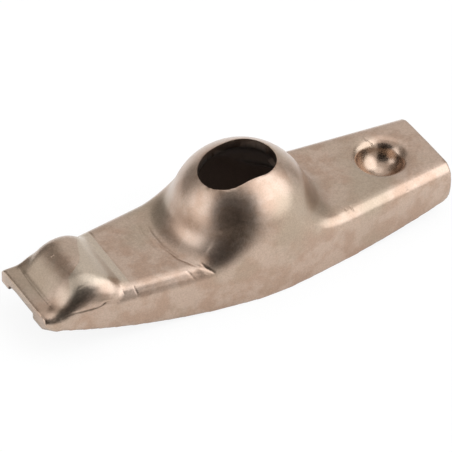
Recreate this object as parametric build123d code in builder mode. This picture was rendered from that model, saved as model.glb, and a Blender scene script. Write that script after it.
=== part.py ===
from build123d import *
from math import asin, atan2, cos, radians, sin, sqrt, tan
import os

os.makedirs("parts", exist_ok=True)

# Pressed-steel rocker arm for a small overhead-valve engine, in millimetres.
# One blank is folded into an upside-down channel, with a ball-seat dome, a pushrod cup and a valve pad.
# X runs along the arm, with the valve pad at -X and the pushrod cup at +X. +Z is the side that faces
# the cylinder head. The origin is the centre of the pivot ball.

# Sheet
sheet = 1.3  # blank thickness
fold_radius = 1.75  # outside radius between crown and walls

# Channel
crown_height = 0.1  # crown surface above the pivot centre
pivot_half_width = 8.35  # outside of a wall, where its two tapers would meet
valve_taper = 7.1  # degrees each wall closes in towards the valve end
pushrod_taper = 6.1  # degrees each wall closes in towards the pushrod end
waist_radius = 30.0  # plan radius that joins the two tapers beside the dome
pushrod_end = 25.4  # sheared end behind the pushrod cup
shear_skew = 1.6  # degrees both sheared ends are out of square

# Lower edge of the walls: a flat to stand on, between two long sweeps
standing_depth = 6.6  # standing edge below the pivot centre
flat_to_valve = 3.0
flat_to_pushrod = 6.0
valve_sweep = 76.0
pushrod_sweep = 96.0
heel_radius = 1.4  # lower corner of a wall at the pushrod end

# Ball-seat dome
dome_radius = 8.48  # outside of the dome
dome_wall = 1.1  # thickness left after drawing
flare_reach = 11.16  # radius at which the flare runs out into the crown
slot_length = 9.2
slot_width = 6.8
slot_shift = 0.7  # centre of the slot, towards the valve end

# Pushrod cup
cup_distance = 19.1  # pivot centre to cup centre
cup_rim_reach = 4.0  # radius at which the rim starts to turn down
cup_rim_radius = 1.58
cup_ball_radius = 3.75

# Valve pad and lip
crease_distance = 17.1  # pivot centre to the crease where the crown ends
band_rise = 13.0  # slope of the narrow band behind the crease, in degrees
pad_distance = 21.8  # pivot centre to the highest line of the pad
pad_height = 1.95  # highest line above the pivot centre
pad_radius = 4.4  # rolling radius of the pad
pad_rise = 36.0  # slope from the band up to the pad, in degrees
pad_fall = 47.0  # slope from the pad down to the lip, in degrees
pad_shoulder = 2.4  # radius between the pad and the walls
pad_corner = 0.8  # radius in the hollow corners before and behind the pad
lip_drop = 0.9  # lip surface below the pivot centre
lip_width = 1.8
lip_shoulder = 0.8  # radius between the lip and the walls
web_rise = 30.0  # slope of the webs that run from the lip up the sides of the pad, in degrees
web_length = 2.8
spread_distance = 22.5  # from here the +Y wall runs on straight, spread by the lip
spread_radius = 12.0  # plan radius of the bend there
foot_depth = 0.8  # what stands down under each side of the lip
foot_gap = 5.4  # between the two feet, the guide for the valve stem
foot_shift = 1.1  # centre of the guide, towards +Y

# Working length past every face that is cut later
overrun = 5.0

# Places that follow from the sizes above
pad_centre = pad_height - pad_radius
ramp_top = (
    -pad_distance + pad_radius * sin(radians(pad_rise)),
    pad_centre + pad_radius * cos(radians(pad_rise)),
)
fall_top = (
    -pad_distance - pad_radius * sin(radians(pad_fall)),
    pad_centre + pad_radius * cos(radians(pad_fall)),
)
ramp_slope = tan(radians(pad_rise))
band_slope = tan(radians(band_rise))
ramp_at_crease = ramp_top[1] - ramp_slope * (-crease_distance - ramp_top[0])
band_length = (ramp_at_crease - crown_height) / (band_slope - ramp_slope)
band_top = (-crease_distance - band_length, crown_height + band_slope * band_length)
lip_start = fall_top[0] - (fall_top[1] + lip_drop) / tan(radians(pad_fall))
valve_end = lip_start - lip_width
foot_level = -lip_drop - sheet - foot_depth
web_top = (lip_start + web_length, web_length * tan(radians(web_rise)) - lip_drop)
lip_half_width = pivot_half_width + valve_end * tan(radians(valve_taper))
pad_half_width = pivot_half_width - pad_distance * tan(radians(valve_taper))
spread_y = pivot_half_width - spread_distance * tan(radians(valve_taper))
tool_floor = -standing_depth - overrun
widest = 2 * pivot_half_width + overrun


def flare_radius(inset, thinning):
    """Radius of the arc that is tangent to the crown and to the dome."""
    top = crown_height - inset
    ball = dome_radius - thinning
    return (flare_reach**2 + top**2 - ball**2) / (2 * (ball - top))


def wall_plan(inset):
    """The channel seen from above, with both ends left long."""
    valve_x = valve_end - overrun
    pushrod_x = pushrod_end + overrun
    valve_y = pivot_half_width + valve_x * tan(radians(valve_taper))
    pushrod_y = pivot_half_width - pushrod_x * tan(radians(pushrod_taper))
    with BuildSketch(Plane.XY.offset(tool_floor)) as plan:
        with BuildLine():
            Polyline(
                (valve_x, -valve_y),
                (0, -pivot_half_width),
                (pushrod_x, -pushrod_y),
                (pushrod_x, pushrod_y),
                (0, pivot_half_width),
                (-spread_distance, spread_y),
                (valve_x, spread_y),
                close=True,
            )
        make_face()
        fillet(vertices().sort_by(Axis.X)[3:-2], radius=waist_radius)
        fillet(vertices().sort_by(Axis.X)[2], radius=spread_radius)
        if inset:
            offset(amount=-inset, kind=Kind.INTERSECTION)
    return plan.sketch


def dome_profile(inset, thinning):
    """Half section of the dome and its flare."""
    ball = dome_radius - thinning
    flare = flare_radius(inset, thinning)
    top = crown_height - inset
    slope = atan2(top + flare, flare_reach)
    joint = (ball * cos(slope), ball * sin(slope))
    with BuildSketch(Plane.XZ) as half:
        with BuildLine():
            Line((0, tool_floor), (0, ball))
            RadiusArc((0, ball), joint, ball)
            RadiusArc(joint, (flare_reach, top), -flare)
            Polyline((flare_reach, top), (flare_reach, tool_floor), (0, tool_floor))
        make_face()
    return half.sketch


def crown_profile(inset):
    """Side view of the straight channel, which runs on under the pad to its highest line."""
    with BuildSketch(Plane.XZ) as side:
        with BuildLine():
            Polyline(
                (-pad_distance, tool_floor),
                (-pad_distance, crown_height),
                (pushrod_end + overrun, crown_height),
                (pushrod_end + overrun, tool_floor),
                close=True,
            )
        make_face()
        if inset:
            offset(amount=-inset, kind=Kind.INTERSECTION)
    return side.sketch


def pad_profile(inset):
    """Side view of the band, the pad and the lip, left long at the lip and under the crown."""
    band_foot = (band_top[0] + (band_top[1] - tool_floor) / tan(radians(band_rise)), tool_floor)
    with BuildSketch(Plane.XZ) as side:
        with BuildLine():
            ThreePointArc(ramp_top, (-pad_distance, pad_height), fall_top)
            Polyline(
                fall_top,
                (lip_start, -lip_drop),
                (valve_end - overrun, -lip_drop),
                (valve_end - overrun, tool_floor),
                band_foot,
                band_top,
                ramp_top,
            )
        make_face()
        for corner in (band_top, (lip_start, -lip_drop)):
            fillet(vertices().sort_by_distance(corner)[0], radius=pad_corner)
        if inset:
            offset(amount=-inset, kind=Kind.INTERSECTION)
    return side.sketch


def cup_profile(inset):
    """Half section of the space above the pushrod cup: rim, then ball seat."""
    rim = cup_rim_radius - inset
    seat = cup_ball_radius + inset
    turn = asin(cup_rim_reach / (rim + seat))
    rim_centre = crown_height - cup_rim_radius
    seat_centre = rim_centre + (rim + seat) * cos(turn)
    joint = (seat * sin(turn), seat_centre - seat * cos(turn))
    above = crown_height + overrun
    with BuildSketch(Plane.XZ.move(Location((cup_distance, 0, 0)))) as half:
        with BuildLine():
            RadiusArc((0, seat_centre - seat), joint, -seat)
            RadiusArc(joint, (cup_rim_reach, crown_height - inset), rim)
            Polyline(
                (cup_rim_reach, crown_height - inset),
                (cup_rim_reach, above),
                (0, above),
                (0, seat_centre - seat),
            )
        make_face()
    return half.sketch


def fold_edges(block):
    """The upper edges of a block, where its top meets its two walls."""
    flat_or_round = (GeomType.PLANE, GeomType.CYLINDER)
    walls = block.faces().filter_by(
        lambda face: face.geom_type in flat_or_round and abs(face.normal_at().Y) > 0.9
    )
    level = walls.edges().filter_by(Axis.Z, reverse=True)
    return level.filter_by(lambda edge: edge.center().Z > -standing_depth)


def pressing(inset, thinning):
    """The solid under one side of the sheet: its outer side, or its inner side set in by the sheet."""
    plan = wall_plan(inset)
    height = dome_radius - tool_floor
    with BuildPart() as channel:
        extrude(crown_profile(inset), amount=widest, both=True)
        revolve(dome_profile(inset, thinning), axis=Axis.Z)
        extrude(plan, amount=height, mode=Mode.INTERSECT)
        fillet(fold_edges(channel), radius=fold_radius - inset)
    with BuildPart() as pad:
        extrude(pad_profile(inset), amount=widest, both=True)
        extrude(plan, amount=height, mode=Mode.INTERSECT)
        fillet(fold_edges(pad), radius=pad_shoulder - inset)
    with BuildPart() as whole:
        add(channel.part)
        add(pad.part)
        cup_axis = Axis((cup_distance, 0, 0), (0, 0, 1))
        revolve(cup_profile(inset), axis=cup_axis, mode=Mode.SUBTRACT)
    return whole.part


def lip_block():
    """The lip and its webs with their closer shoulders, solid, run on under the pad."""
    with BuildPart() as block:
        with BuildSketch(Plane.XZ):
            with BuildLine():
                Polyline(
                    (valve_end - overrun, foot_level),
                    (valve_end - overrun, -lip_drop),
                    (lip_start, -lip_drop),
                    web_top,
                    (-pad_distance, web_top[1]),
                    (-pad_distance, foot_level),
                    close=True,
                )
            make_face()
            fillet(vertices().sort_by_distance((lip_start, -lip_drop))[0], radius=pad_corner)
            fillet(vertices().sort_by_distance(web_top)[0], radius=pad_shoulder)
        extrude(amount=widest, both=True)
        with BuildSketch(Plane.XY.offset(tool_floor)):
            with BuildLine():
                Polyline(
                    (valve_end - overrun, spread_y),
                    (-pad_distance, spread_y),
                    (-pad_distance, -pad_half_width),
                    (valve_end, -lip_half_width),
                    (valve_end - overrun, -lip_half_width),
                    close=True,
                )
            make_face()
        extrude(amount=-tool_floor, mode=Mode.INTERSECT)
        upper = fold_edges(block).filter_by(lambda edge: edge.center().Z > foot_level + sheet)
        fillet(upper, radius=lip_shoulder)
    return block.part


def side_outline():
    """What the shears leave, seen from the side: two ends, the sweeps and the flat between them."""
    top = dome_radius + overrun
    foot_rise = foot_level + standing_depth
    foot_back = -flat_to_valve - sqrt(valve_sweep**2 - (valve_sweep - foot_rise) ** 2)
    heel_run = pushrod_end - flat_to_pushrod
    heel_level = pushrod_sweep - sqrt(pushrod_sweep**2 - heel_run**2) - standing_depth
    with BuildSketch(Plane.XZ) as side:
        with BuildLine():
            Polyline(
                (foot_back, foot_level),
                (valve_end - overrun, foot_level),
                (valve_end - overrun, top),
                (pushrod_end, top),
                (pushrod_end, heel_level),
            )
            RadiusArc((pushrod_end, heel_level), (flat_to_pushrod, -standing_depth), pushrod_sweep)
            Line((flat_to_pushrod, -standing_depth), (-flat_to_valve, -standing_depth))
            RadiusArc((-flat_to_valve, -standing_depth), (foot_back, foot_level), valve_sweep)
        make_face()
        heel = vertices().sort_by_distance((pushrod_end, heel_level))[0]
        fillet(heel, radius=heel_radius)
    return side.sketch


with BuildPart() as hollow:
    add(pressing(sheet, dome_wall))
    with BuildSketch(Plane.XY.offset(tool_floor)):
        with Locations((lip_start - overrun, 0)):
            Rectangle(2 * overrun, widest)
        with Locations((lip_start - overrun, foot_shift)):
            Rectangle(2 * overrun, foot_gap, mode=Mode.SUBTRACT)
    extrude(amount=-tool_floor, mode=Mode.SUBTRACT)

with BuildPart() as rocker_arm:
    add(pressing(0, 0))
    add(lip_block())
    add(hollow.part, mode=Mode.SUBTRACT)
    extrude(side_outline(), amount=widest, both=True, mode=Mode.INTERSECT)
    square_off = (cos(radians(shear_skew)), sin(radians(shear_skew)), 0)
    split(bisect_by=Plane(origin=(valve_end, 0, 0), z_dir=square_off), keep=Keep.TOP)
    split(bisect_by=Plane(origin=(pushrod_end, 0, 0), z_dir=square_off), keep=Keep.BOTTOM)
    toe = (valve_end, -lip_half_width, -lip_drop - lip_shoulder)
    split(bisect_by=Plane(origin=toe, z_dir=(1, 1, 1)), keep=Keep.TOP)
    with BuildSketch():
        with Locations((-slot_shift, 0)):
            SlotOverall(slot_length, slot_width)
    extrude(amount=dome_radius, mode=Mode.SUBTRACT)

rocker_arm.part.label = "rocker_arm"
export_step(rocker_arm.part, "parts/rocker_arm.step")
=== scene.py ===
import math

import bpy
import numpy as np
from mathutils import Matrix, Vector


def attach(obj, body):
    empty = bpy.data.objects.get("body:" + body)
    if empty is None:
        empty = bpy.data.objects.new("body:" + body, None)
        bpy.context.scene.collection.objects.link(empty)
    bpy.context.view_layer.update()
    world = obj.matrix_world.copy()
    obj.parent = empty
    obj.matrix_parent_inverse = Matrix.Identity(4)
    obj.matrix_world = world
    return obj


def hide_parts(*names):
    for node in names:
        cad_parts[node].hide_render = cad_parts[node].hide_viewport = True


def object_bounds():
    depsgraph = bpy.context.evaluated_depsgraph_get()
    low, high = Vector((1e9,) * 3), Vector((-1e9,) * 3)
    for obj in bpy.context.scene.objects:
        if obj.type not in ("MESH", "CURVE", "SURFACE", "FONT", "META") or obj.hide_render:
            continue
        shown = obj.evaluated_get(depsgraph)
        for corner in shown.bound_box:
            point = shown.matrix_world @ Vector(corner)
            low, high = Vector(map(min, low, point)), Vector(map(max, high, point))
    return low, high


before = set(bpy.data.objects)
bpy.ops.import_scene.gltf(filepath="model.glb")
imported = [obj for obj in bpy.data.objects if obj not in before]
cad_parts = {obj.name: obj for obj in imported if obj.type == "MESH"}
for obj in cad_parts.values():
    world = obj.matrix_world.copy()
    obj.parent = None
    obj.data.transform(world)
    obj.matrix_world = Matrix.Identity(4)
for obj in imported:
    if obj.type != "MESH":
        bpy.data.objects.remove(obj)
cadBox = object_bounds()


def linearColour(hexCode):
    # sRGB hex to the linear values that sockets expect
    values = [int(hexCode[i:i + 2], 16) / 255 for i in (1, 3, 5)]
    return [v / 12.92 if v <= 0.04045 else ((v + 0.055) / 1.055) ** 2.4 for v in values] + [1.0]


def addNode(tree, kind, settings=None, inputs=None):
    node = tree.nodes.new(kind)
    for name, value in (settings or {}).items():
        setattr(node, name, value)
    for name, value in (inputs or {}).items():
        if isinstance(value, bpy.types.NodeSocket):
            tree.links.new(value, node.inputs[name])
        else:
            node.inputs[name].default_value = value
    return node


def freshTree(block):
    block.use_nodes = True
    block.node_tree.nodes.clear()
    return block.node_tree


def direction(azimuth, elevation):
    # azimuth turns from +X towards +Y, both in degrees
    a, e = math.radians(azimuth), math.radians(elevation)
    return Vector((math.cos(a) * math.cos(e), math.sin(a) * math.cos(e), math.sin(e)))


# The pressing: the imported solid, drawn soft where the sheet stretched, with its creases and
# scratches. Lengths are in metres.
pressing = {
    "mergeWithin": 2e-6,
    "gridStep": 0.000238,  # of the even skin; a finer one goes past 200,000 triangles
    "evenPasses": 5,
    "sharpAngle": 50,
    # the ball cup is a half sphere as deep as its radius, with a bump as thick as the sheet below
    "cup": {
        "centre": (0.0189, 0, 0.0001), "radius": 0.00285, "wall": 0.00105, "bumpStart": -0.0006},
    # the slot is cut again after the drawing, so its edge is crisp
    "slot": {
        "radius": 0.00350, "halfRun": 0.0012, "middle": -0.0007, "bottom": 0.0042, "top": 0.0110},
    # what counts as the outer skin, and how fast a drawn place fades out
    "outerUp": 0.12,
    "outerSide": 0.4,
    "drawnRise": 1.6,
    "lightest": 0.01,  # a point that is drawn less than this isn't moved
    "rimHeight": 0.0062,  # above this the dome keeps its shape
    "rimFade": 0.0012,
    # drawn places: centre, reach along X, Y and Z, and smoothing passes
    "drawn": {
        "dome_foot": {
            "centre": (0, 0, 0.0012), "reach": (0.0128, 0.0096, 0.0044), "passes": 80},
        "dome_to_wall_left": {
            "centre": (-0.0046, -0.0072, 0.0014), "reach": (0.0054, 0.0026, 0.0032), "passes": 260},
        "dome_to_wall_right": {
            "centre": (0.0040, -0.0072, 0.0010), "reach": (0.0050, 0.0024, 0.0030), "passes": 70},
        "pad_shoulder_near": {
            "centre": (-0.0238, -0.0044, 0.0004), "reach": (0.0044, 0.0024, 0.0028), "passes": 150},
        "pad_shoulder_far": {
            "centre": (-0.0238, 0.0052, 0.0001), "reach": (0.0040, 0.0018, 0.0026), "passes": 30},
        "toe": {
            "centre": (-0.0281, -0.0047, -0.0012), "reach": (0.0018, 0.0016, 0.0016), "passes": 40},
        "cup_rim": {
            "centre": (0.0189, 0, -0.0007), "reach": (0.0038, 0.0038, 0.0012), "passes": 10},
    },
    "refineReaches": (0.0003, 0.0001),  # the skin is cut finer twice, each time nearer to the lines
    "endFade": 6,  # a line fades out over a sixth of its length at each end
    # creases and scratches: points on the surface, how deep and how wide; a negative depth
    # stands proud
    "creases": {
        "crown_crease": {
            "path": [(-0.0172, 0.0065, -0.0002), (-0.01716, 0.0050, 0.00005),
                     (-0.0172, 0.0012, 0.0001), (-0.0172, -0.0017, 0.0001),
                     (-0.0173, -0.0037, 0.0001), (-0.0171, -0.0048, 0.00005)],
            "depth": 0.00005, "width": 0.00012},
        "fold_crease_left": {
            "path": [(-0.0189, -0.0038, 0.0008), (-0.0186, -0.0046, 0.0003),
                     (-0.0184, -0.0057, -0.0006)],
            "depth": 0.000012, "width": 0.00010},
        "fold_crease_right": {
            "path": [(-0.0171, -0.0050, 0.0000), (-0.0171, -0.0056, -0.0003),
                     (-0.0170, -0.0061, -0.0010)],
            "depth": 0.000012, "width": 0.00010},
        "pad_edge": {
            "path": [(-0.0192, 0.0043, 0.0009), (-0.0195, 0.0038, 0.0012),
                     (-0.0202, 0.0024, 0.0016), (-0.0210, 0.0004, 0.0019),
                     (-0.0216, -0.0006, 0.0019), (-0.0225, -0.0013, 0.0019)],
            "depth": 0.00003, "width": 0.00016},
        "pinch": {
            "path": [(-0.0262, -0.0050, -0.0012), (-0.0255, -0.0051, -0.0009),
                     (-0.0239, -0.0054, -0.0008), (-0.0217, -0.0057, -0.0008),
                     (-0.0209, -0.0057, -0.0004), (-0.0202, -0.0058, -0.0006),
                     (-0.0188, -0.0060, -0.0014)],
            "depth": 0.00007, "width": 0.00014},
        "pinch_lip": {
            "path": [(-0.0242, -0.0053, -0.0011), (-0.0228, -0.0055, -0.0011),
                     (-0.0215, -0.0057, -0.0010)],
            "depth": -0.00004, "width": 0.00012},
        "wall_crease": {
            "path": [(-0.0180, -0.0061, -0.0015), (-0.0177, -0.0062, -0.0026),
                     (-0.0172, -0.0062, -0.0038)],
            "depth": 0.00003, "width": 0.00014},
        "lip_hollow": {
            "path": [(-0.0266, 0.0044, -0.0009), (-0.0266, 0.0014, -0.0009),
                     (-0.0265, -0.0024, -0.0009), (-0.0264, -0.0040, -0.0009)],
            "depth": 0.00007, "width": 0.00013},
        "shoulder_line": {
            "path": [(-0.0236, -0.0039, 0.0013), (-0.0226, -0.0040, 0.0017),
                     (-0.0212, -0.0041, 0.0018)],
            "depth": 0.00004, "width": 0.00012},
        "foot_arc": {
            "path": [(-0.0108, 0.0033, 0.0001), (-0.0111, 0.0013, 0.0001),
                     (-0.0111, -0.0010, 0.0001), (-0.0105, -0.0038, 0.0001),
                     (-0.0095, -0.0056, 0.0001), (-0.0085, -0.0066, -0.0002),
                     (-0.0075, -0.0073, -0.0007)],
            "depth": 0.00005, "width": 0.00018},
        "outer_arc": {
            "path": [(-0.0116, 0.0040, 0.0001), (-0.0120, 0.0017, 0.0001),
                     (-0.0118, -0.0008, 0.0001), (-0.0112, -0.0030, 0.0001)],
            "depth": 0.00003, "width": 0.00016},
        "fold_pinch_left": {
            "path": [(-0.0110, -0.0053, 0.0001), (-0.0105, -0.0062, -0.0002),
                     (-0.0100, -0.0070, -0.0011)],
            "depth": 0.00002, "width": 0.00014},
        "fold_pinch_mid": {
            "path": [(-0.0088, -0.0056, 0.0002), (-0.0084, -0.0066, -0.0001),
                     (-0.0075, -0.0074, -0.0008)],
            "depth": 0.000035, "width": 0.00015},
        "draw_line": {
            "path": [(-0.0075, -0.0074, -0.0008), (-0.0056, -0.0077, -0.0019),
                     (-0.0040, -0.0079, -0.0019), (-0.0025, -0.0080, -0.0009),
                     (0.0000, -0.0082, -0.0007), (0.0010, -0.0082, -0.0007)],
            "depth": 0.000015, "width": 0.00020},
        "fold_pinch_right": {
            "path": [(0.0106, -0.0056, 0.0001), (0.0106, -0.0063, -0.0002),
                     (0.0107, -0.0068, -0.0008)],
            "depth": 0.00005, "width": 0.00010},
        "fold_pinch_far_right": {
            "path": [(0.0113, -0.0055, 0.0001), (0.0113, -0.0062, -0.0001),
                     (0.0114, -0.0068, -0.0008)],
            "depth": 0.00005, "width": 0.00010},
        "fold_scratch": {
            "path": [(0.0190, -0.0055, -0.0002), (0.0190, -0.0060, -0.0007)],
            "depth": 0.00005, "width": 0.00009},
        "cup_scratch": {
            "path": [(0.0191, 0.0048, 0.0001), (0.0192, 0.0035, 0.0000), (0.0195, 0.0027, -0.0006)],
            "depth": 0.00005, "width": 0.00009},
        "cup_scratch_short": {
            "path": [(0.0193, 0.0036, 0.0000), (0.0198, 0.0028, -0.0004)],
            "depth": -0.00004, "width": 0.00008},
        "pad_scratch": {
            "path": [(-0.0237, 0.0021, 0.0015), (-0.0233, 0.0021, 0.0017)],
            "depth": -0.00004, "width": 0.00009},
    },
}


def selectOnly(thing):
    for other in bpy.context.selected_objects:
        other.select_set(False)
    thing.select_set(True)
    bpy.context.view_layer.objects.active = thing


def applyModifier(thing, kind, settings):
    selectOnly(thing)
    modifier = thing.modifiers.new(kind.lower(), kind)
    for name, value in settings.items():
        setattr(modifier, name, value)
    bpy.ops.object.modifier_apply(modifier=modifier.name)


def copyOfSolid(mergeWithin):
    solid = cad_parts["rocker_arm"]
    arm = bpy.data.objects.new("pressed_arm", solid.data.copy())
    bpy.context.scene.collection.objects.link(arm)
    selectOnly(arm)
    bpy.ops.object.mode_set(mode="EDIT")
    bpy.ops.mesh.select_all(action="SELECT")
    bpy.ops.mesh.remove_doubles(threshold=mergeWithin)
    bpy.ops.object.mode_set(mode="OBJECT")
    # the solid's own normals would stay behind as marks on the new skin
    bpy.ops.mesh.customdata_custom_splitnormals_clear()
    arm.data.use_remesh_preserve_attributes = False
    return arm


def ballAt(centre, radius):
    bpy.ops.mesh.primitive_uv_sphere_add(
        segments=96, ring_count=64, radius=radius, location=centre)
    ball = bpy.context.object
    bpy.ops.object.transform_apply(location=True)
    return ball


def deepenCup(arm, sizes):
    # the bump below the sheet goes on first, then the ball's own place comes out of both
    bump = ballAt(sizes["centre"], sizes["radius"] + sizes["wall"])
    bpy.ops.object.mode_set(mode="EDIT")
    bpy.ops.mesh.select_all(action="SELECT")
    bpy.ops.mesh.bisect(
        plane_co=(0, 0, sizes["bumpStart"]), plane_no=(0, 0, 1), clear_outer=True, use_fill=True)
    bpy.ops.object.mode_set(mode="OBJECT")
    hollow = ballAt(sizes["centre"], sizes["radius"])
    applyModifier(arm, "BOOLEAN", {"operation": "UNION", "object": bump, "solver": "EXACT"})
    applyModifier(arm, "BOOLEAN", {"operation": "DIFFERENCE", "object": hollow, "solver": "EXACT"})
    bpy.data.objects.remove(bump)
    bpy.data.objects.remove(hollow)


def evenSkin(arm, gridStep, passes):
    # an even grid of small faces, laid back onto the exact surface
    exact = arm.copy()
    exact.data = arm.data.copy()
    bpy.context.scene.collection.objects.link(exact)
    arm.data.remesh_voxel_size = gridStep
    selectOnly(arm)
    bpy.ops.object.voxel_remesh()
    applyModifier(arm, "SHRINKWRAP", {"target": exact, "wrap_method": "NEAREST_SURFACEPOINT"})
    bpy.data.objects.remove(exact)
    applyModifier(arm, "SMOOTH", {"factor": 0.5, "iterations": passes})


def readPoints(thing):
    points = np.empty(len(thing.data.vertices) * 3)
    thing.data.vertices.foreach_get("co", points)
    normals = np.empty(len(points))
    thing.data.vertex_normals.foreach_get("vector", normals)
    return points.reshape(-1, 3), normals.reshape(-1, 3)


def drawSoft(arm, sizes):
    # only the outer skin is softened, most in the middle of each place
    for name, place in sizes["drawn"].items():
        points, normals = readPoints(arm)
        away = (points - np.array(place["centre"])) / np.array(place["reach"])
        weight = np.clip(sizes["drawnRise"] * (1 - (away ** 2).sum(axis=1)), 0, 1)
        sideways = normals[:, 1] * np.sign(points[:, 1])
        weight = weight * ((normals[:, 2] > sizes["outerUp"]) | (sideways > sizes["outerSide"]))
        if name.startswith("dome"):
            # the slot's own rim stays sharp
            weight = weight * np.clip((sizes["rimHeight"] - points[:, 2]) / sizes["rimFade"], 0, 1)
        group = arm.vertex_groups.new(name=name)
        for index in np.nonzero(weight > sizes["lightest"])[0]:
            group.add([int(index)], float(weight[index]), "REPLACE")
        applyModifier(arm, "SMOOTH", {
            "factor": 0.5, "iterations": place["passes"], "vertex_group": name})


def cutSlot(arm, sizes):
    tall = sizes["top"] - sizes["bottom"]
    bpy.ops.mesh.primitive_cylinder_add(
        vertices=128, radius=sizes["radius"], depth=tall,
        location=(0, 0, sizes["bottom"] + tall / 2))
    cutter = bpy.context.object
    bpy.ops.object.transform_apply(location=True)
    # the two halves of the round cutter move apart to the slot's length
    for point in cutter.data.vertices:
        point.co.x += math.copysign(sizes["halfRun"], point.co.x) + sizes["middle"]
    applyModifier(arm, "BOOLEAN", {"operation": "DIFFERENCE", "object": cutter, "solver": "EXACT"})
    bpy.data.objects.remove(cutter)


def distanceToPath(points, path, endFade):
    # how far each point lies from the nearest stretch of the path, and how deep the line is
    # there: 1 along the middle, 0 at the ends
    nearest = np.full(len(points), np.inf)
    fade = np.zeros(len(points))
    lengths = [math.dist(a, b) for a, b in zip(path, path[1:])]
    gone = 0
    for a, b, length in zip(path, path[1:], lengths):
        a, b = np.array(a), np.array(b)
        share = np.clip(((points - a) @ (b - a)) / length ** 2, 0, 1)
        away = np.linalg.norm(points - (a + share[:, None] * (b - a)), axis=1)
        closer = away < nearest
        nearest[closer] = away[closer]
        along = (gone + share[closer] * length) / sum(lengths)
        fade[closer] = np.clip(endFade * np.minimum(along, 1 - along), 0, 1)
        gone += length
    return nearest, fade


def refineNear(arm, sizes):
    for reach in sizes["refineReaches"]:
        points, _ = readPoints(arm)
        near = np.zeros(len(points), dtype=bool)
        for line in sizes["creases"].values():
            away, _ = distanceToPath(points, line["path"], sizes["endFade"])
            near |= away < reach + 2 * line["width"]
        selectOnly(arm)
        arm.data.vertices.foreach_set("select", near)
        bpy.ops.object.mode_set(mode="EDIT")
        bpy.ops.mesh.select_mode(type="VERT")
        bpy.ops.mesh.subdivide(number_cuts=1)
        bpy.ops.object.mode_set(mode="OBJECT")


def pressCreases(arm, sizes):
    for line in sizes["creases"].values():
        points, normals = readPoints(arm)
        away, fade = distanceToPath(points, line["path"], sizes["endFade"])
        depth = line["depth"] * fade * np.exp(-(away / line["width"]) ** 2)
        arm.data.vertices.foreach_set("co", (points - normals * depth[:, None]).ravel())
        arm.data.update()


def makePressing(sizes):
    arm = copyOfSolid(sizes["mergeWithin"])
    deepenCup(arm, sizes["cup"])
    evenSkin(arm, sizes["gridStep"], sizes["evenPasses"])
    drawSoft(arm, sizes)
    refineNear(arm, sizes)
    pressCreases(arm, sizes)
    arm.vertex_groups.clear()
    cutSlot(arm, sizes["slot"])
    selectOnly(arm)
    bpy.ops.object.shade_smooth_by_angle(angle=math.radians(sizes["sharpAngle"]))
    return arm


arm = makePressing(pressing)
print("pressed arm has", sum(len(p.vertices) - 2 for p in arm.data.polygons), "triangles")

# Heat-treated steel, satin from tumbling, browned in patches by the furnace and left with a thin
# film of oil: the eye sees broad soft reflections on a warm, slightly uneven grey-brown
steelLook = {
    "plain": "#bca492",
    "brown": "#af937f",
    "olive": "#aa9884",
    "scale": "#6b574b",  # painted shade: a darker colour for the hollow underside and the slot's inner wall
    "band": "#c2b19e",  # painted sheen: lighter colour between the crease and the pad, where the flatter face catches more light
    "patch": 0.0032,  # size of the brown patches
    "patchSpread": (0.40, 0.62),  # the noise below the first is plain, above the second brown
    "stain": 0.0110,  # size of the olive stains
    "stainSpread": (0.46, 0.66),
    "stainMost": 0.8,
    "grain": 0.00020,  # a real grain is finer; this is the finest that still shows
    "grainSpread": (0.3, 0.7),
    "grainLight": 1.13,
    "grainDark": 0.87,
    "grainRelief": 0.0000012,
    "roughLow": 0.29,
    "roughHigh": 0.40,
    "polish": 0.8,  # share of the roughness left where the ball runs
    "film": 0.35,
    "filmRoughness": 0.24,
}

# Where the painted shade, the painted sheen and the ball's polish lie. Tilts are shares of the
# normal: 1 faces that way, 0 stands square to it.
shadeSheenAndPolishPlaces = {
    "hollow": {"upBelow": 0.05, "outBelow": 0.35, "endBelow": 0.8, "clearOfCup": 0.0004},
    "slotWall": {
        "stretch": 1.25, "middle": 0.0005, "reach": 0.0045, "above": 0.005, "upBelow": 0.35},
    # the band's edges: the pad gives way to it along these points, and it stops at the crease
    "band": {
        "padAlongY": (-0.0040, -0.0020, -0.0013, -0.0006, 0.0004, 0.0024, 0.0038, 0.0060),
        "padAlongX": (-0.0245, -0.0237, -0.0225, -0.0216, -0.0210, -0.0202, -0.0195, -0.0188),
        "padFade": 0.00012,
        "creaseX": -0.0172,
        "creaseFade": 0.00008,
        "foldY": 0.0050,
        "foldFade": 0.0012,
        "upAbove": 0.2,
    },
    "ballTrack": {"reach": 0.0036, "fade": 0.0006},
}


def paint(arm, name, values):
    layer = arm.data.attributes.new(name, "FLOAT", "POINT")
    layer.data.foreach_set("value", values)


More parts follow.
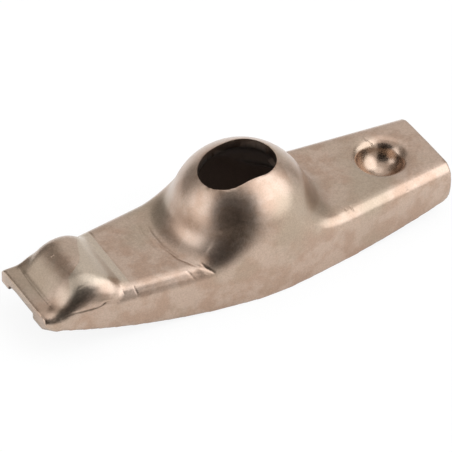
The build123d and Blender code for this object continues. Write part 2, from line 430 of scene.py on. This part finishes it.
def paintPlaces(arm, places, ball):
    # how much painted shade, painted sheen and polish a point has: 1 in the middle of its place, 0
    # outside
    points, normals = readPoints(arm)
    x, y, z = points.T
    end, side, up = normals.T
    fromBall = np.linalg.norm(points - np.array(ball["centre"]), axis=1)
    hollow, slotWall, band = places["hollow"], places["slotWall"], places["band"]
    # painted shade: faces in the hollow underside and on the slot's inner wall get the darker
    # colour
    inHollow = (up < hollow["upBelow"]) & (side * np.sign(y) < hollow["outBelow"])
    inHollow &= (end > -hollow["endBelow"]) & (end < hollow["endBelow"])
    inHollow &= fromBall > ball["radius"] + hollow["clearOfCup"]
    fromSlot = np.hypot(x / slotWall["stretch"] + slotWall["middle"], y)
    inSlot = (fromSlot < slotWall["reach"]) & (z > slotWall["above"]) & (up < slotWall["upBelow"])
    paint(arm, "painted_shade", np.maximum(inHollow, inSlot).astype(float))
    # painted sheen: the band between the pad's edge and the crease is painted lighter
    padEdge = np.interp(y, band["padAlongY"], band["padAlongX"])
    painted_sheen = (np.clip((x - padEdge) / band["padFade"], 0, 1)
              * np.clip((band["creaseX"] - x) / band["creaseFade"], 0, 1)
              * np.clip((y + band["foldY"]) / band["foldFade"], 0, 1) * (up > band["upAbove"]))
    paint(arm, "painted_sheen", painted_sheen)
    track = places["ballTrack"]
    paint(arm, "ball_track", np.clip((track["reach"] - fromBall) / track["fade"], 0, 1) * (up > 0))


def makeSteel(look):
    steel = bpy.data.materials.new("heat_treated_steel")
    tree = freshTree(steel)
    place = addNode(tree, "ShaderNodeTexCoord").outputs["Object"]
    patches = addNode(tree, "ShaderNodeTexNoise", None, {
        "Vector": place, "Scale": 1 / look["patch"], "Detail": 3.0, "Roughness": 0.6})
    stains = addNode(tree, "ShaderNodeTexNoise", None, {
        "Vector": place, "Scale": 1 / look["stain"], "Detail": 4.0, "Roughness": 0.55})
    grain = addNode(tree, "ShaderNodeTexNoise", None, {
        "Vector": place, "Scale": 1 / look["grain"], "Detail": 2.0, "Roughness": 0.7})
    patchShare = addNode(tree, "ShaderNodeMapRange", {"interpolation_type": "SMOOTHSTEP"}, {
        "Value": patches.outputs["Fac"],
        "From Min": look["patchSpread"][0], "From Max": look["patchSpread"][1]})
    stainShare = addNode(tree, "ShaderNodeMapRange", {"interpolation_type": "SMOOTHSTEP"}, {
        "Value": stains.outputs["Fac"], "From Min": look["stainSpread"][0],
        "From Max": look["stainSpread"][1], "To Max": look["stainMost"]})
    # sockets 6 and 7 are the Mix node's two colours, 0 is its factor
    browned = addNode(tree, "ShaderNodeMix", {"data_type": "RGBA"}, {
        0: patchShare.outputs["Result"],
        6: linearColour(look["plain"]), 7: linearColour(look["brown"])})
    stained = addNode(tree, "ShaderNodeMix", {"data_type": "RGBA"}, {
        0: stainShare.outputs["Result"], 6: browned.outputs[2], 7: linearColour(look["olive"])})
    painted_shade = addNode(tree, "ShaderNodeAttribute", {"attribute_name": "painted_shade"})
    painted_sheen = addNode(tree, "ShaderNodeAttribute", {"attribute_name": "painted_sheen"})
    ballTrack = addNode(tree, "ShaderNodeAttribute", {"attribute_name": "ball_track"})
    # painted sheen: the band takes the lighter colour
    sheenPainted = addNode(tree, "ShaderNodeMix", {"data_type": "RGBA"}, {
        0: painted_sheen.outputs["Fac"], 6: stained.outputs[2], 7: linearColour(look["band"])})
    # painted shade: the hollow and the slot wall take the darker colour
    shadePainted = addNode(tree, "ShaderNodeMix", {"data_type": "RGBA"}, {
        0: painted_shade.outputs["Fac"], 6: sheenPainted.outputs[2], 7: linearColour(look["scale"])})
    grainLow, grainHigh = look["grainSpread"]
    grainTone = addNode(tree, "ShaderNodeMapRange", None, {
        "Value": grain.outputs["Fac"], "From Min": grainLow, "From Max": grainHigh,
        "To Min": look["grainDark"], "To Max": look["grainLight"]})
    toned = addNode(tree, "ShaderNodeVectorMath", {"operation": "SCALE"}, {
        0: shadePainted.outputs[2], "Scale": grainTone.outputs["Result"]})
    rough = addNode(tree, "ShaderNodeMapRange", None, {
        "Value": grain.outputs["Fac"], "From Min": grainLow, "From Max": grainHigh,
        "To Min": look["roughLow"], "To Max": look["roughHigh"]})
    polish = addNode(tree, "ShaderNodeMapRange", None, {
        "Value": ballTrack.outputs["Fac"], "To Min": 1.0, "To Max": look["polish"]})
    smooth = addNode(tree, "ShaderNodeMath", {"operation": "MULTIPLY"}, {
        0: rough.outputs["Result"], 1: polish.outputs["Result"]})
    relief = addNode(tree, "ShaderNodeBump", None, {
        "Height": grain.outputs["Fac"], "Distance": look["grainRelief"], "Strength": 1.0})
    surface = addNode(tree, "ShaderNodeBsdfPrincipled", None, {
        "Base Color": toned.outputs["Vector"],
        "Metallic": 1.0,
        "Roughness": smooth.outputs["Value"],
        "Normal": relief.outputs["Normal"],
        "Coat Weight": look["film"],
        "Coat Roughness": look["filmRoughness"],
    })
    addNode(tree, "ShaderNodeOutputMaterial", None, {"Surface": surface.outputs[0]})
    return steel


paintPlaces(arm, shadeSheenAndPolishPlaces, pressing["cup"])
arm.data.materials.clear()
arm.data.materials.append(makeSteel(steelLook))
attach(arm, "root")
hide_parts("rocker_arm")
print("steel is on")

# Studio: white paper under the arm, three soft boxes, and four cards that only the steel mirrors.
# A thing stands "toward" an azimuth and an elevation, as seen from the pivot's centre.
studio = {
    "paper": "#f4f3f1",
    "paperSize": 3.0,
    "paperDrop": 0.00002,  # the arm stands this far above the paper
    "paperGlow": 0.88,  # share of plain white that the eye sees; the rest keeps the shadow
    "paperMirrored": 0.02,  # the same share where the steel mirrors the paper
    "room": 0.82,
    "cards": {
        "black_flag": {
            "toward": (-133, 27), "distance": 0.062, "faces": "arm",
            "size": (0.092, 0.116), "tone": "#211f1d"},
        "black_base": {
            "toward": (-124, -9), "distance": 0.062, "faces": "up",
            "size": (0.066, 0.036), "tone": "#45413d"},
        "grey_flag_left": {
            "toward": (116, 22), "distance": 0.085, "faces": "arm",
            "size": (0.060, 0.106), "tone": "#8f8d8a"},
        "grey_flag_right": {
            "toward": (13, 16), "distance": 0.085, "faces": "arm",
            "size": (0.022, 0.098), "tone": "#a9a7a4"},
    },
    "cardLift": 0.0001,  # a card that faces up lies this far above the arm's lowest edge
    "lamps": {
        "key_box": {"toward": (-40, 43), "halfAngle": 33, "glow": 1.7},
        "left_box": {"toward": (170, 19), "halfAngle": 25, "glow": 1.15},
        "top_box": {"toward": (40, 72), "halfAngle": 20, "glow": 0.7},
    },
    "lampDistance": 0.6,
    "lampColour": (0.93, 1.0, 1.08),  # the boxes are a little cooler than the room
}


def makePaper(setup):
    bpy.ops.mesh.primitive_plane_add(
        size=setup["paperSize"], location=(0, 0, cadBox[0].z - setup["paperDrop"]))
    floor = bpy.context.object
    floor.name = "paper"
    paper = bpy.data.materials.new("white_paper")
    tree = freshTree(paper)
    rays = addNode(tree, "ShaderNodeLightPath")
    matt = addNode(tree, "ShaderNodeBsdfDiffuse", None, {"Color": linearColour(setup["paper"])})
    glow = addNode(tree, "ShaderNodeEmission", None, {"Color": (1, 1, 1, 1), "Strength": 1.0})
    seen = addNode(tree, "ShaderNodeMath", {"operation": "MULTIPLY"}, {
        0: rays.outputs["Is Camera Ray"], 1: setup["paperGlow"]})
    share = addNode(tree, "ShaderNodeMath", {"operation": "MULTIPLY_ADD"}, {
        0: rays.outputs["Is Glossy Ray"], 1: setup["paperMirrored"], 2: seen.outputs[0]})
    mixed = addNode(tree, "ShaderNodeMixShader", None, {
        0: share.outputs[0], 1: matt.outputs[0], 2: glow.outputs[0]})
    addNode(tree, "ShaderNodeOutputMaterial", None, {"Surface": mixed.outputs[0]})
    floor.data.materials.append(paper)


def makeWorld(setup):
    world = bpy.data.worlds.new("studio_room")
    bpy.context.scene.world = world
    tree = freshTree(world)
    rays = addNode(tree, "ShaderNodeLightPath")
    room = addNode(tree, "ShaderNodeBackground", None, {
        "Color": (1, 1, 1, 1), "Strength": setup["room"]})
    white = addNode(tree, "ShaderNodeBackground", None, {"Color": (1, 1, 1, 1), "Strength": 1.0})
    mixed = addNode(tree, "ShaderNodeMixShader", None, {
        0: rays.outputs["Is Camera Ray"], 1: room.outputs[0], 2: white.outputs[0]})
    addNode(tree, "ShaderNodeOutputWorld", None, {"Surface": mixed.outputs[0]})


def makeCards(setup):
    for name, card in setup["cards"].items():
        toward = direction(*card["toward"])
        place = toward * card["distance"]
        turn = toward.to_track_quat("Z", "Y").to_euler()
        if card["faces"] == "up":
            place.z = cadBox[0].z + setup["cardLift"]
            turn = (0, 0, 0)
        bpy.ops.mesh.primitive_plane_add(size=1, location=place, rotation=turn)
        sheet = bpy.context.object
        sheet.name = name
        sheet.scale = (card["size"][0], card["size"][1], 1)
        bpy.ops.object.transform_apply(location=False, rotation=False, scale=True)
        sheet.visible_camera = False
        sheet.visible_diffuse = False
        sheet.visible_shadow = False
        tone = bpy.data.materials.new(name)
        tree = freshTree(tone)
        glow = addNode(tree, "ShaderNodeEmission", None, {
            "Color": linearColour(card["tone"]), "Strength": 1.0})
        addNode(tree, "ShaderNodeOutputMaterial", None, {"Surface": glow.outputs[0]})
        sheet.data.materials.append(tone)


def makeLamps(setup):
    for name, lamp in setup["lamps"].items():
        light = bpy.data.lights.new(name, "AREA")
        light.shape = "DISK"
        light.size = 2 * setup["lampDistance"] * math.tan(math.radians(lamp["halfAngle"]))
        light.color = setup["lampColour"]
        # the power that makes the disk's face as bright as its glow, where 1 is plain white
        light.energy = lamp["glow"] * math.pi * math.pi * (light.size / 2) ** 2
        holder = bpy.data.objects.new(name, light)
        toward = direction(*lamp["toward"])
        holder.location = toward * setup["lampDistance"]
        holder.rotation_euler = toward.to_track_quat("Z", "Y").to_euler()
        holder.visible_camera = False
        bpy.context.scene.collection.objects.link(holder)


makePaper(studio)
makeWorld(studio)
makeCards(studio)
makeLamps(studio)
print("studio is set up")

# Camera: a long lens from the near left, tipped a little
view = {
    "azimuth": -121.5,
    "elevation": 41.508,
    "distance": 0.4132,
    "lens": 285.5,
    "roll": 1.389,
    "centreRight": -0.00173,  # picture centre from the pivot centre
    "centreUp": -0.00187,
}


def makeCamera(setup):
    back = direction(setup["azimuth"], setup["elevation"])
    roll = Matrix.Rotation(math.radians(setup["roll"]), 3, "Z")
    upright = back.to_track_quat("Z", "Y").to_matrix() @ roll
    centre = upright @ Vector((setup["centreRight"], setup["centreUp"], 0))
    place = back * setup["distance"]
    turn = (place - centre).to_track_quat("Z", "Y").to_matrix() @ roll
    lens = bpy.data.cameras.new("camera")
    lens.lens = setup["lens"]
    camera = bpy.data.objects.new("camera", lens)
    camera.location = place
    camera.rotation_euler = turn.to_euler()
    bpy.context.scene.collection.objects.link(camera)
    bpy.context.scene.camera = camera


makeCamera(view)
bpy.context.scene.view_settings.view_transform = "Standard"
print("camera is in place")
